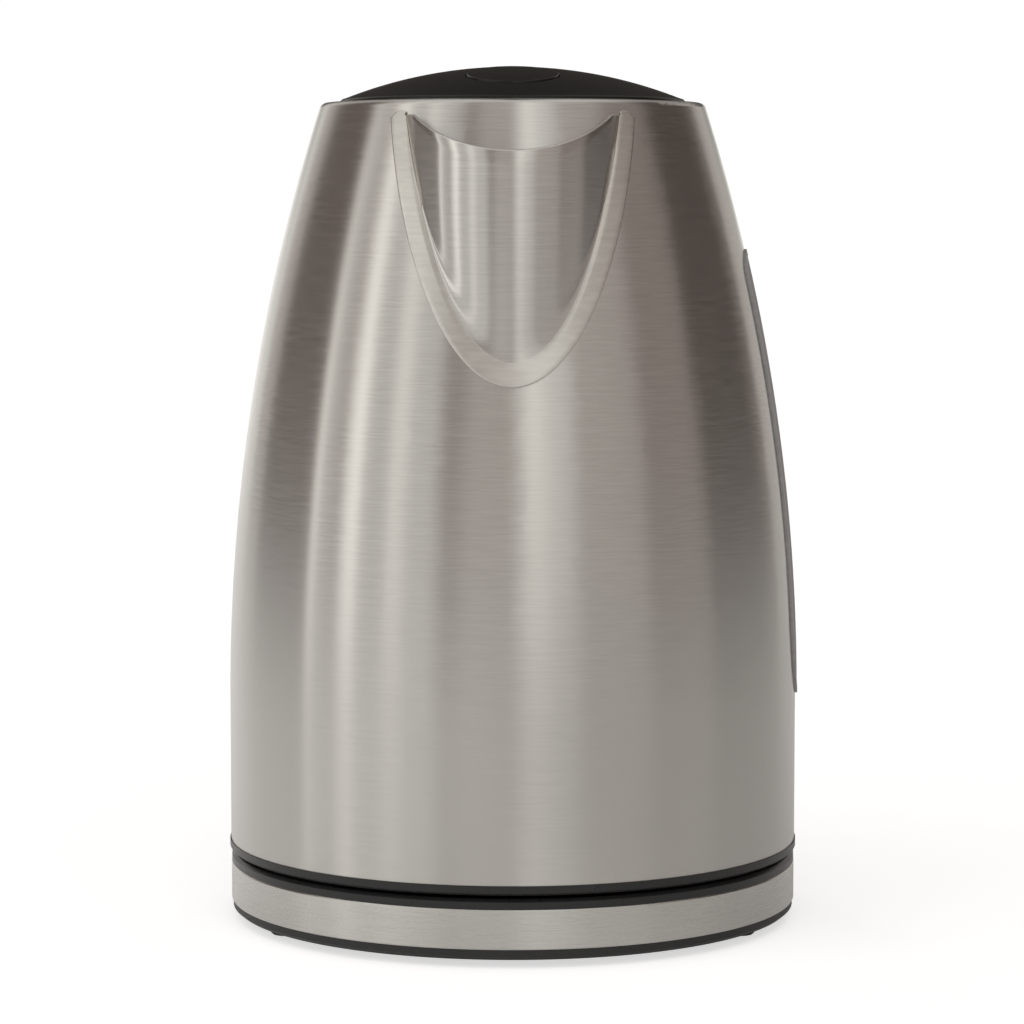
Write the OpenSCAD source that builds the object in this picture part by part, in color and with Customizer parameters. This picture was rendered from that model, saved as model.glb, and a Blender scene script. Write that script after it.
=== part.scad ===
// Cordless electric kettle: a brushed steel jug that stands on a round power base.
// Millimetres, +Z up. The origin is on the table, under the centre of the power base.
// The spout points to -Y, the handle to +Y and the water gauge to +X.

/* [Power base] */
// Outer radius of the steel band round the base
base_r = 77.7; // [76.5:0.1:79]
// Height of the base's top edge above the table
base_h = 18; // [17.5:0.1:20]
// Height of the rubber feet
foot_h = 2; // [1.5:0.1:2.5]
// Bottom edge of the steel band above the table
band_low = 4.9; // [4.5:0.1:5.5]
// Top edge of the steel band above the table
band_top = 15.3; // [15:0.1:16]
// Radius of the cord's hole in the gland
cord_r = 3.5; // [3:0.1:3.8]

/* [Jug] */
// Gap between the base's top edge and the jug's skirt
seat_gap = 1; // [0.8:0.1:1.5]
// Height of the plastic ring below the steel body
skirt_h = 2.5; // [2:0.1:3]
// Radius of the steel body's straight lower part
body_r = 77.8; // [77:0.1:78.5]
// Height of the steel body
body_h = 201; // [198:1:204]
// Height of the straight part, where the taper starts
straight_h = 38; // [34:1:42]
// Radius of the one long arc that tapers the body
taper_r = 530; // [525:1:540]
// Thickness of the steel sheet
sheet = 0.8; // [0.6:0.05:1]
// Radius of the rolled corner at the rim
rim_round = 2; // [1.6:0.1:2.4]
// Radius of the mouth in the rim
mouth_r = 47.5; // [47.3:0.1:48]

/* [Spout] */
// Half width of the scoop
scoop_w = 30; // [29:0.5:31]
// Half depth of the oval that the scoop is part of
scoop_d = 38; // [37:0.5:39]
// Distance of the scoop's front line from the kettle's axis
scoop_front = 69.9; // [69.5:0.1:70.2]
// Height of the scoop's low end above the body's bottom edge
scoop_low = 132.4; // [131:0.1:134]
// Height of the lip's front above the body's bottom edge
lip_front = 187.5; // [186:0.1:189]
// Height of the lip's two ends above the body's bottom edge
lip_end = 196.6; // [196:0.1:197.5]
// Width of the welded flange
flange_w = 5.3; // [4.5:0.1:6]

/* [Lid] */
// Radius of the lid
lid_r = 47; // [46.5:0.1:47]
// Height of the lid's crown above the rim
lid_crown = 9.9; // [9:0.1:11]
// Radius of the dome's sphere
dome_r = 124.5; // [120:0.5:130]
// Radius of the push button
button_r = 12.3; // [11.5:0.1:12.5]
// Distance of the button from the lid's centre, towards the spout
button_off = 24; // [22:0.5:25]
// Travel of the push button
button_travel = 2.5; // [2:0.1:2.5]

/* [Water gauge] */
// Direction of the gauge, in degrees from the spout towards +X
gauge_turn = 86; // [80:1:90]
// Width of the gauge
gauge_w = 24; // [22:0.5:26]
// Lower end of the gauge above the body's bottom edge
gauge_low = 40; // [40:1:44]
// Upper end of the gauge above the body's bottom edge
gauge_high = 161.5; // [158:0.5:164]

/* [Handle] */
// Width of the handle
handle_w = 30; // [28:1:32]
// Distance of the handle's back from the kettle's axis
handle_back = 124; // [122:1:126]
// Depth of the handle's section
handle_t = 21; // [20:0.5:22]

/* [Hidden] */

$fn = 96;
arc_fn = 1440;   // the two long arcs need many sides to stay true
eps = 0.01;
far = 200;

steel = "silver";
plastic = [0.09, 0.09, 0.1];
rubber = [0.16, 0.16, 0.16];
copper = [0.72, 0.45, 0.2];
brass = [0.8, 0.68, 0.35];
white = [0.88, 0.88, 0.85];
alloy = [0.75, 0.76, 0.78];

// Heights that other parts work from
jug_z = base_h + seat_gap + skirt_h;      // bottom edge of the steel body
rim_z = jug_z + body_h;                   // top of the rim
taper_z = jug_z + straight_h;             // start of the taper
taper_x = body_r - taper_r;               // centre of the taper's arc

// Radius of the steel body's outside at height z
function wall_r(z) = taper_x + sqrt(pow(taper_r, 2) - pow(max(z - taper_z, 0), 2));

// Puts a side view, drawn with x as Y and y as Z, into place, with its thickness along X
module side(w) rotate([90, 0, 90]) linear_extrude(w, center = true) children();

// Pushes a front view, drawn with x as X and y as Z, from the axis out to the spout side
module front_prism() rotate([90, 0, 0]) linear_extrude(far) children();

// A cylinder along Y, from y0 to y1, at height z
module rod_y(r, y0, y1, z, x = 0) translate([x, y0, z]) rotate([-90, 0, 0]) cylinder(r = r, h = y1 - y0);

// A cylinder along X, centred, in the side view's place y, z
module rod_x(r, w, y, z) side(w) translate([y, z]) circle(r);

// A flat ring
module ring(r_in, r_out, z0, z1) rotate_extrude() translate([r_in, z0]) square([r_out - r_in, z1 - z0]);

// Copies round the axis
module around(angles) for (a = angles) rotate([0, 0, a]) children();

// A helical spring along Z with its lower end at z = 0
module helix(coil_r, wire_r, height, turns) {
    sides = 8;
    steps = turns * 20;
    pts = [for (i = [0:steps], k = [0:sides - 1])
        let (a = 360 * turns * i / steps, b = 360 * k / sides, r = coil_r + wire_r * cos(b))
        [r * cos(a), r * sin(a), wire_r + (height - 2 * wire_r) * i / steps + wire_r * sin(b)]];
    walls = [for (i = [0:steps - 1], k = [0:sides - 1])
        let (n = (k + 1) % sides)
        [i * sides + k, (i + 1) * sides + k, (i + 1) * sides + n, i * sides + n]];
    ends = [[for (k = [0:sides - 1]) k], [for (k = [sides - 1:-1:0]) steps * sides + k]];
    polyhedron(pts, concat(walls, ends));
}

// A countersunk or pan screw that points up, with its head's underside at z = 0
module screw(r, length, head_r, head_h) {
    cylinder(r = r, h = length);
    translate([0, 0, -head_h]) difference() {
        cylinder(r = head_r, h = head_h + eps);
        for (a = [0, 90]) rotate([0, 0, a]) cube([head_r * 1.2, 0.7, head_h * 1.1], center = true);
    }
}

// ---------- The steel body's outline, which many parts follow ----------

// Half outline of everything inside the wall, moved in by inset, between two heights
module wall_region(inset, z0, z1) intersection() {
    translate([0, z0]) square([far / 2, z1 - z0]);
    union() {
        if (z0 < taper_z) translate([0, z0]) square([body_r - inset, taper_z - z0]);
        translate([taper_x, taper_z]) circle(taper_r - inset, $fn = arc_fn);
    }
}

// The same up to the rim, with its rolled corner
rim_x = taper_x + sqrt(pow(taper_r - rim_round, 2) - pow(rim_z - rim_round - taper_z, 2));
rim_tangent = taper_z + (rim_z - rim_round - taper_z) * taper_r / (taper_r - rim_round);
module rim_region(inset) {
    wall_region(inset, jug_z - (inset > 0 ? 1 : 0), rim_tangent);
    translate([rim_x, rim_z - rim_round]) circle(rim_round - inset);
    translate([0, rim_z - 20]) square([rim_x, 20 - inset]);
}

// A curved layer that lies on the wall: depths are inwards, so a negative one stands proud
module wall_layer(outer, inner, z0, z1) rotate_extrude() difference() {
    wall_region(outer, z0, z1);
    wall_region(inner, z0 - 1, z1 + 1);
}

// ---------- Power base ----------

base_lip_r = base_r - 0.1;
band_t = 0.6;
tray_wall = 2;
tray_out = base_r - band_t - 0.1;
tray_in = tray_out - tray_wall;
tray_floor = base_h - 1.4;
hub_r = 24.2;
hub_top = base_h + 0.2;
hub_hole = 18.2;
plate_low = foot_h;
plate_top = foot_h + 2.2;
boss_turns = [30, 150, 270];
boss_at = 58;
foot_at = 69;
foot_r = 4.3;
foot_turns = [-151.5, -28.5, 90];
cord_z = (band_low + band_top) / 2;
gland_r = 4.8;
gland_in = 72.5;
gland_out = 79;
gland_lip = 1;

module base_bottom() color(plastic) difference() {
    lip_r = gland_r + gland_lip + 0.1;
    union() {
        rotate_extrude() polygon([
            [0, plate_low], [base_r - 1.6, plate_low], [base_r - 0.4, plate_low + 1],
            [base_r - 0.4, band_low - 0.05], [tray_in - 0.3, band_low - 0.05],
            [tray_in - 0.3, band_low + 2], [tray_in - 2, band_low + 2],
            [tray_in - 2, plate_top], [0, plate_top]
        ]);
        translate([-10, 60, plate_top - eps]) cube([20, 6, cord_z - plate_top]);
    }
    around(boss_turns) translate([boss_at, 0, 0]) {
        cylinder(r = 1.7, h = 10);
        cylinder(r = 3.4, h = plate_low + 1.2);
    }
    around(foot_turns) translate([foot_at, 0, 0]) cylinder(r = 1.9, h = 10);
    rod_y(cord_r + 0.3, 59, tray_out, cord_z);
    // room for the gland's inner lip
    translate([-lip_r, gland_in - 0.1, cord_z - lip_r]) cube([2 * lip_r, tray_in - gland_in, 10]);
    // drain and vent slots
    around([0:45:315]) translate([38, -1.2, 0]) cube([12, 2.4, 10]);
}

module base_feet() color(rubber) around(foot_turns) translate([foot_at, 0, 0]) {
    rotate_extrude() polygon([
        [0, 0], [foot_r - 0.5, 0], [foot_r, 0.5], [foot_r, foot_h], [1.85, foot_h],
        [1.85, plate_top + 0.05], [2.4, plate_top + 0.05], [1.6, plate_top + 1.4], [0, plate_top + 1.4]
    ]);
}

module base_band() color(steel) difference() {
    rotate_extrude() polygon([
        [base_r - band_t, band_low], [base_r - 0.15, band_low], [base_r, band_low + 0.25],
        [base_r, band_top - 0.35], [base_r - 0.25, band_top], [base_r - band_t, band_top]
    ]);
    rod_y(gland_r + 0.1, gland_in, gland_out, cord_z);
}

module base_tray() color(plastic) difference() {
    union() {
        rotate_extrude() polygon([
            [tray_out, band_low + 0.1], [tray_out, band_top + 0.05], [base_lip_r, band_top + 0.05],
            [base_lip_r, base_h - 0.8], [base_lip_r - 0.9, base_h], [71.5, base_h],
            [70.1, tray_floor], [hub_r + 1.4, tray_floor], [hub_r, hub_top], [hub_hole, hub_top],
            [hub_hole, 11], [hub_hole + 2, 11], [hub_hole + 2, hub_top - 2],
            [hub_r - 1, hub_top - 2], [hub_r + 0.5, tray_floor - 2], [71.2, tray_floor - 2],
            [72.6, base_h - 2], [tray_in, base_h - 2], [tray_in, band_low + 0.1]
        ]);
        around(boss_turns) translate([boss_at, 0, plate_top + 0.1])
            cylinder(r = 4, h = tray_floor - 2 - plate_top);
    }
    around(boss_turns) translate([boss_at, 0, 0]) cylinder(r = 1.25, h = tray_floor - 3);
    rod_y(gland_r + 0.1, gland_in, gland_out, cord_z);
}

module base_screws() color(alloy) around(boss_turns)
    translate([boss_at, 0, plate_low + 1.15]) screw(1.25, 8, 2.8, 1.1);

column_r = 13;
column_top = base_h + 11;
slot_in = [5.4, 9];
slot_w = 1.4;
guard_r = 17.6;

module base_connector() color(white) rotate_extrude() difference() {
    polygon([
        [0, plate_top + 0.05], [hub_hole - 0.2, plate_top + 0.05], [hub_hole - 0.2, 10.8],
        [guard_r, 10.8], [guard_r, hub_top + 1.2], [guard_r - 1.6, hub_top + 1.2],
        [guard_r - 1.6, 12], [column_r, 12], [column_r, column_top - 1.5],
        [column_r - 1.5, column_top], [0, column_top]
    ]);
    translate([0, 10]) square([3.2, far]);
    for (r = slot_in) translate([r, 12.5]) square([slot_w, far]);
}

module base_contacts() color(copper) {
    ring(2.45, 3.15, 10.05, 22);
    for (r = slot_in) ring(r + 0.03, r + 0.45, 12.55, 23);
}

module terminal_block() color(white) difference() {
    translate([-11, 32, plate_top + 0.05]) cube([22, 10, 7.5]);
    for (x = [-7, 0, 7]) {
        rod_y(1.6, 31, 43, plate_top + 3.6, x);
        translate([x, 37, plate_top + 4]) cylinder(r = 1.4, h = 5);
    }
}

module cord_clamp() color(white) difference() {
    union() {
        translate([-10, 60.5, cord_z + 0.1]) cube([20, 5, 1.8]);
        rod_y(cord_r + 0.75, 60.5, 65.5, cord_z);
    }
    translate([-20, 50, cord_z - 10]) cube([40, 30, 10.1]);
    rod_y(cord_r + 0.1, 59, 67, cord_z);
    for (x = [-7.6, 7.6]) translate([x, 63, cord_z]) cylinder(r = 1, h = 5);
}

module cord_gland() color(rubber) difference() {
    union() {
        rod_y(gland_r, gland_in, gland_out, cord_z);
        rod_y(gland_r + gland_lip, gland_in, tray_in - 0.3, cord_z);
    }
    rod_y(cord_r, gland_in - 1, gland_out + 1, cord_z);
}

module swivel_ring() color(white) ring(guard_r + 0.3, hub_r - 0.4, hub_top + 0.05, hub_top + 1);

// ---------- Jug: body and spout ----------

gauge_face = gauge_w / 2;
gauge_edge = 1.6;
gauge_step = 0.85;
gauge_proud = 0.6;

// Outline of the gauge, moved in by inset: blunt at the top and tapered at the bottom
module gauge_outline(inset) {
    top_end = 8;
    low_end = 20;
    z_top = jug_z + gauge_high - top_end;
    z_low = jug_z + gauge_low + low_end;
    half = gauge_face - inset;
    translate([-half, z_low]) square([2 * half, z_top - z_low]);
    translate([0, z_top]) scale([half, top_end - inset]) circle(1);
    translate([0, z_low]) scale([half, low_end - inset]) circle(1);
}

// The gauge's outline pushed out through the wall on its own side
module gauge_prism(inset) rotate([0, 0, gauge_turn - 90]) rotate([90, 0, 90])
    linear_extrude(far / 2) gauge_outline(inset);

window_w = 17;
window_z0 = 166;
window_z1 = 206;

// Outline of the pouring window behind the scoop, grown by extra
module window_outline(extra) {
    corner = 5;
    w = window_w + extra;
    z0 = window_z0 - extra;
    z1 = window_z1 + extra;
    translate([-w + corner, z0]) square([2 * (w - corner), z1 - z0]);
    translate([-w, z0 + corner]) square([2 * w, z1 - z0 - 2 * corner]);
    for (x = [-1, 1], z = [z0 + corner, z1 - corner]) translate([x * (w - corner), z]) circle(corner);
}

steam_z = 215.5;

module body_shell() color(steel) difference() {
    rotate_extrude() difference() {
        rim_region(0);
        rim_region(sheet);
        translate([0, rim_z - 10]) square([mouth_r, 20]);
    }
    front_prism() window_outline(0);
    gauge_prism(gauge_step);
    rod_y(3, 40, 70, steam_z);
}

scoop_z = jug_z + scoop_low;
flange_t = 0.6;
weld_gap = 0.05;          // keeps the spout's sheet just clear of the wall it is welded to
scoop_half = 104;        // half height of the oval that the flange's inner edge follows
flange_half = 83;        // half height of its outer oval
lip_slope = 0.5;

module oval(a, b) scale([a, b]) circle(1);

// The scoop's oval tube, moved in by inset
module scoop_tube(inset) translate([0, scoop_d - scoop_front, scoop_z - 5])
    linear_extrude(lip_end - scoop_low + 5) oval(scoop_w - inset, scoop_d - inset);

// Everything below the slanted lip
module below_lip() side(far) polygon([
    [-far, jug_z], [eps, jug_z], [eps, jug_z + lip_front + lip_slope * scoop_front],
    [-far, jug_z + lip_front - lip_slope * (far - scoop_front)]
]);

module spout() color(steel) {
    tip_z = jug_z + lip_end + 1.4;
    flange_z = scoop_z - flange_w;
    // welded flange
    difference() {
        intersection() {
            wall_layer(-flange_t, -weld_gap, flange_z - 1, tip_z);
            front_prism() translate([0, flange_z + flange_half]) oval(scoop_w + 2.3, flange_half);
        }
        front_prism() translate([0, scoop_z + scoop_half]) oval(scoop_w - sheet, scoop_half);
    }
    // scoop
    difference() {
        intersection() {
            scoop_tube(0);
            below_lip();
        }
        scoop_tube(sheet);
        rotate_extrude() wall_region(-weld_gap, scoop_z - 20, rim_z + 20);
    }
}

collar_z = rim_z - 14;
seat_z = rim_z - 5.5;
collar_r = 45.8;

module lid_collar() color(plastic) difference() {
    rotate_extrude() difference() {
        wall_region(sheet + 0.1, collar_z, rim_z - sheet - rim_round);
        translate([0, collar_z - 1]) square([collar_r, 30]);
        translate([0, seat_z]) square([lid_r + 0.6, 30]);
        difference() {
            wall_region(sheet + 2.1, collar_z - 1, seat_z - 2);
            translate([0, collar_z - 2]) square([collar_r + 2, 30]);
        }
    }
    rod_y(3, 40, 70, steam_z);
}

// ---------- Jug: heater and control under the water ----------

plate_z = jug_z + 20.5;
spreader_r = 60;
spreader_z = plate_z - 4.5;
element_r = 44;
element_t = 3.2;
element_z = spreader_z - element_t;
element_gap = 40;
skirt_turns = [90, 210, 330];
skirt_screw_at = 56;
control_r = 24;
control_top = plate_z - 9;
control_low = hub_top + 1.05;
socket_r = 13.6;

module heater_plate() color(steel) {
    ring(body_r - sheet - 2.3, body_r - sheet - 1.5, plate_z - 6, plate_z - 0.9);
    translate([0, 0, plate_z - 1]) cylinder(r = body_r - sheet - 1.5, h = 1);
}

module plate_seal() color(rubber) ring(body_r - sheet - 1.45, body_r - sheet - 0.05, plate_z - 5, plate_z);

module heat_spreader() color(alloy) difference() {
    translate([0, 0, spreader_z]) cylinder(r = spreader_r, h = 3.45);
    around(skirt_turns) translate([skirt_screw_at, 0, 0]) cylinder(r = 1.5, h = spreader_z + 2.3);
}

module element_ends() around([90 - element_gap / 2, 90 + element_gap / 2]) translate([element_r, 0, 0]) children();

module heating_element() color(alloy) {
    rotate([0, 0, 90 + element_gap / 2]) rotate_extrude(angle = 360 - element_gap)
        translate([element_r, element_z]) circle(element_t);
    element_ends() translate([0, 0, element_z - 8]) cylinder(r = element_t, h = 8);
}

module element_terminals() color(brass) element_ends() {
    translate([0, 0, element_z - 9]) cylinder(r = 1.4, h = 1);
    translate([-0.4, -2.4, element_z - 12]) cube([0.8, 4.8, 3.1]);
}

module control_housing() color(white) {
    rotate_extrude() polygon([
        [guard_r + 0.7, control_low], [control_r, control_low], [control_r, control_top],
        [0, control_top], [0, control_top - 2], [socket_r, control_top - 2],
        [socket_r, control_low + 2.8], [guard_r + 0.7, control_low + 1.8]
    ]);
    for (x = [-13, 13]) translate([x, 0, control_top - eps]) cylinder(r = 5, h = spreader_z - control_top - 1);
}

module jug_contacts() color(brass) {
    translate([0, 0, 15]) cylinder(r = 2.35, h = control_top - 17.05);
    for (r = slot_in) ring(r + 0.55, r + 1.05, 17, control_top - 2.05);
}

module dry_boil_discs() color(brass) for (x = [-13, 13])
    translate([x, 0, spreader_z - 0.95]) cylinder(r = 6.5, h = 0.9);

module jug_skirt() color(plastic) {
    low = base_h + seat_gap;
    lip = body_r + 0.3;
    in_r = body_r - sheet - 0.1;
    difference() {
        rotate_extrude() polygon([
            [control_r + 0.4, low + 0.6], [70, low + 0.6], [72, low], [lip - 0.6, low],
            [lip, low + 0.6], [lip, jug_z - 0.05], [in_r, jug_z - 0.05], [in_r, jug_z + 5.5],
            [in_r - 2, jug_z + 5.5], [in_r - 2, low + 2.8], [control_r + 0.4, low + 2.8]
        ]);
        around(skirt_turns) translate([skirt_screw_at, 0, 0]) {
            cylinder(r = 1.7, h = jug_z + 5);
            cylinder(r = 3.3, h = low + 1.7);
        }
    }
}

module skirt_screws() color(alloy) around(skirt_turns)
    translate([skirt_screw_at, 0, base_h + seat_gap + 1.65]) screw(1.45, 18.5, 3, 1);

// ---------- Jug: water gauge ----------

gauge_z0 = jug_z + gauge_low - 5;
gauge_z1 = jug_z + gauge_high + 5;

module gauge_frame() color(plastic) {
    difference() {
        intersection() {
            wall_layer(-gauge_proud, 0, gauge_z0, gauge_z1);
            gauge_prism(0);
        }
        gauge_prism(gauge_edge);
    }
    difference() {
        intersection() {
            wall_layer(-eps, 2.4, gauge_z0, gauge_z1);
            gauge_prism(gauge_step + 0.02);
        }
        gauge_prism(gauge_edge);
    }
}

module gauge_lens() color([0.55, 0.56, 0.56, 0.5]) intersection() {
    wall_layer(-gauge_proud + 0.15, 2.4, gauge_z0, gauge_z1);
    gauge_prism(gauge_edge + 0.02);
}

module gauge_seal() color(rubber) difference() {
    intersection() {
        wall_layer(sheet + 0.02, 2.4, gauge_z0, gauge_z1);
        gauge_prism(-2.4);
    }
    gauge_prism(gauge_step);
}

// ---------- Handle ----------

handle_top = 226;
handle_low = 62;
back_r = 260;            // the back is one long arc
top_corner = 38;
low_corner = 30;
corner_rise = 48;        // height of both corner centres above and below the arc's middle
back_z = handle_top - top_corner - corner_rise;
back_y = handle_back - back_r;
low_z = handle_low + low_corner;
top_y = back_y + sqrt(pow(back_r - top_corner, 2) - pow(corner_rise, 2));
low_y = back_y + sqrt(pow(back_r - low_corner, 2) - pow(low_z - back_z, 2));
top_turn = atan2(corner_rise, top_y - back_y);
low_turn = atan2(low_z - back_z, low_y - back_y);
shell_t = 3;
grip_t = 3.5;

// Points along an arc; skip leaves out points at both ends
function arc(cy, cz, r, a0, a1, n, skip = 0) = [for (i = [skip:n - skip])
    let (a = a0 + (a1 - a0) * i / n) [cy + r * cos(a), cz + r * sin(a)]];

// Side view of everything inside the handle's outer edge, moved in by inset
module d_region(inset) polygon(concat(
    [[0, handle_low + inset]],
    arc(low_y, low_z, low_corner - inset, -90, low_turn, 12),
    arc(back_y, back_z, back_r - inset, low_turn, top_turn, 20, 1),
    arc(top_y, handle_top - top_corner, top_corner - inset, top_turn, 90, 12),
    [[0, handle_top - inset]]
));

// Side view of the strip between two depths from the handle's outer edge
module d_band(outer, inner) difference() {
    d_region(outer);
    d_region(inner);
}

// The solid body, to trim the handle where it meets the wall
module body_blank(gap) rotate_extrude() {
    wall_region(-gap, jug_z - 5, rim_z);
    square([lid_r + 0.6, rim_z + 20]);
}

hinge_y = 52.5;
hinge_z = rim_z + 4;
knuckle_r = 3;
knuckle_w = 17.2;
ear_r = 3.4;
ear_w = 26;
pin_r = 1.45;
switch_y = 104;
switch_z = 79;
switch_lean = -50;
switch_throw = 12;
lamp_z = 100;
lamp_y = back_y + sqrt(pow(back_r, 2) - pow(lamp_z - back_z, 2));
lamp_r = 2.5;
top_screw_y = 67;
low_screw_y = 82;

module handle_shell() color(plastic) difference() {
    union() {
        difference() {
            side(handle_w) d_band(0, handle_t);
            side(handle_w - 2 * shell_t) d_band(shell_t, handle_t + 1);
            body_blank(0.05);
        }
        // ears that hold the lid's hinge pin
        difference() {
            union() {
                rod_x(ear_r, ear_w, hinge_y, hinge_z);
                translate([-ear_w / 2, hinge_y - ear_r, rim_z + 0.1]) cube([ear_w, 2 * ear_r + 3, 3.9]);
            }
            translate([-knuckle_w / 2 - 0.4, hinge_y - 10, rim_z - 5]) cube([knuckle_w + 0.8, 30, 20]);
        }
    }
    // room for the lid's knuckle
    translate([-knuckle_w / 2 - 0.4, hinge_y - 10, rim_z + 0.1]) cube([knuckle_w + 0.8, 16.5, 20]);
    rod_x(pin_r, ear_w + 1, hinge_y, hinge_z);
    rod_y(lamp_r, lamp_y - 6, lamp_y + 5, lamp_z);
    // slot for the switch lever
    side(15) for (a = [0:switch_throw / 2:switch_throw]) translate([switch_y, switch_z])
        rotate(switch_lean + a) translate([0, -3]) square([22, 6]);
    translate([0, low_screw_y, handle_low - 1]) {
        cylinder(r = 1.7, h = 10);
        cylinder(r = 3.2, h = 2.4);
    }
}

module handle_grip() color(rubber) difference() {
    side(handle_w - 2 * shell_t - 0.3) d_band(handle_t - grip_t, handle_t);
    body_blank(0.3);
    translate([0, top_screw_y, handle_top - handle_t - 1]) {
        cylinder(r = 1.7, h = 10);
        cylinder(r = 3.2, h = 2.6);
    }
}

bracket_w = 18;
bracket_t = 1.5;
top_tab_z = handle_top - handle_t + grip_t + 0.1;
low_tab_z = handle_low + shell_t + 0.1;

module handle_brackets() color(steel) difference() {
    union() {
        for (z = [[top_tab_z, 11], [low_tab_z, 12]]) intersection() {
            wall_layer(-bracket_t, 0, z[0], z[0] + z[1]);
            translate([-bracket_w / 2, 0, 0]) cube([bracket_w, far, far * 2]);
        }
        difference() {
            union() {
                translate([-bracket_w / 2, 40, top_tab_z]) cube([bracket_w, 32, bracket_t]);
                translate([-bracket_w / 2, 60, low_tab_z]) cube([bracket_w, 26, bracket_t]);
            }
            body_blank(0);
        }
    }
    translate([0, top_screw_y, top_tab_z - 1]) cylinder(r = 1.35, h = 5);
    translate([0, low_screw_y, low_tab_z - 1]) cylinder(r = 1.35, h = 5);
    rod_y(3.6, 40, 70, steam_z);
}

module handle_screws() color(alloy) {
    translate([0, top_screw_y, handle_top - handle_t + 1.55]) screw(1.35, 5, 2.9, 1.4);
    translate([0, low_screw_y, handle_low + 1.35]) screw(1.35, 7, 2.9, 1.3);
}

tube_r = 3.4;
tube_bore = 2.2;
tube_in = handle_top - steam_z;

// Round tube or rod that turns about a centre in the side view
module side_arc(y, z, bend_r, a0, a1) translate([0, y, z]) rotate([90, 0, 90])
    rotate([0, 0, a0]) rotate_extrude(angle = a1 - a0) translate([bend_r, 0]) children();

module tube_section() difference() {
    circle(tube_r);
    circle(tube_bore);
}

module steam_tube() color(white) {
    // a straight piece, an elbow and a long piece that follows the handle's back
    tube_end = -9;
    joint_gap = 0.1;
    tube_y = wall_r(steam_z - tube_r) + joint_gap;
    translate([0, tube_y, steam_z]) rotate([-90, 0, 0])
        linear_extrude(top_y - tube_y - joint_gap) tube_section();
    side_arc(top_y, handle_top - top_corner, top_corner - tube_in, top_turn + joint_gap, 90) tube_section();
    side_arc(back_y, back_z, back_r - tube_in, tube_end, top_turn) tube_section();
}

module steam_switch() color(white) difference() {
    translate([-10, 86, 67.2]) cube([20, 12, 11.8]);
    rod_y(5.2, 85, 96.5, 73.2);
}

module steam_bimetal() color(brass) rod_y(5, 89, 89.8, 73.2);

module switch_pin() color(steel) rod_x(1.2, 23.8, switch_y, switch_z);

module switch_lever() color(plastic) difference() {
    union() {
        rod_x(3.4, 13.6, switch_y, switch_z);
        side(13.6) translate([switch_y, switch_z]) rotate(switch_lean) {
            translate([0, -2]) square([15.5, 4]);
            translate([15.5, 0]) circle(2);
        }
    }
    rod_x(1.25, 20, switch_y, switch_z);
}

module indicator_lens() color([0.9, 0.25, 0.1]) rod_y(lamp_r - 0.05, lamp_y - 5, lamp_y - 0.3, lamp_z);

// ---------- Lid ----------

module hinge_pin() color(steel) rod_x(pin_r, ear_w, hinge_y, hinge_z);

crown_z = rim_z + lid_crown;
dome_z = crown_z - dome_r;
lid_low = rim_z - 4.3;
lid_wall = 2;
inner_r = 44.8;
inner_low = rim_z - 9;

// Half outline below the dome's sphere, moved in by inset
module dome_region(inset, r, z0) intersection() {
    translate([0, z0]) square([r, 60]);
    translate([0, dome_z]) circle(dome_r - inset, $fn = arc_fn / 2);
}

module lid_dome() color(plastic) difference() {
    union() {
        rotate_extrude() difference() {
            dome_region(0, lid_r, lid_low);
            dome_region(lid_wall, lid_r - lid_wall, lid_low - 1);
        }
        // guide for the button
        translate([0, -button_off, 0]) intersection() {
            ring(button_r + 0.3, button_r + 1.5, lid_low + 5, crown_z);
            translate([0, button_off, 0]) rotate_extrude() dome_region(1, lid_r - 1, lid_low);
        }
        // arm and knuckle of the hinge
        rod_x(knuckle_r, knuckle_w, hinge_y, hinge_z);
        translate([-knuckle_w / 2, lid_r - 3.2, rim_z + 0.9]) cube([knuckle_w, hinge_y - lid_r + 3.2, 2.2]);
    }
    translate([0, -button_off, 0]) cylinder(r = button_r + 0.3, h = crown_z + 5);
    translate([-5.4, -lid_r - 1, rim_z - 3.9]) cube([10.8, 6, 2.8]);
    rod_x(pin_r + 0.08, knuckle_w + 1, hinge_y, hinge_z);
    // room for the lid's spring in the middle of the knuckle
    translate([-3.2, hinge_y - 4, hinge_z - 4]) cube([6.4, 12, 12]);
}

module lid_inner_plate() color(steel) rotate_extrude() polygon([
    [0, inner_low], [inner_r - 1, inner_low], [inner_r, inner_low + 1], [inner_r, lid_low - 0.05],
    [inner_r - 1.5, lid_low - 0.05], [inner_r - 1.5, inner_low + 1.5], [0, inner_low + 1.5]
]);

module lid_seal() color(rubber) ring(inner_r + 0.2, lid_r - 0.1, lid_low - 1, lid_low - 0.05);

module lid_spring() color(steel) translate([-3, hinge_y, hinge_z]) rotate([0, 90, 0]) helix(2.3, 0.45, 6, 5);

stem_r = 3;
stem_low = inner_low + 1.5 + 2 * button_travel;   // one travel clear of the plate when pressed

module lid_button() color(plastic) difference() {
    union() {
        intersection() {
            translate([0, -button_off, rim_z + 1.5]) cylinder(r = button_r, h = 20);
            translate([0, 0, dome_z]) rotate_extrude() intersection() {
                circle(dome_r + 0.35, $fn = arc_fn / 2);
                translate([0, dome_r - 30]) square([60, 60]);
            }
        }
        translate([0, -button_off, stem_low]) cylinder(r = stem_r, h = 6);
    }
    translate([0, -button_off, rim_z]) difference() {
        cylinder(r = button_r - 1.6, h = 4);
        cylinder(r = stem_r, h = 9);
    }
}

module button_spring() color(steel) translate([0, -button_off, inner_low + 1.55])
    helix(4.6, 0.45, rim_z + 3.9 - inner_low - 1.55, 5);

bolt_z = rim_z - 3.7;

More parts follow.
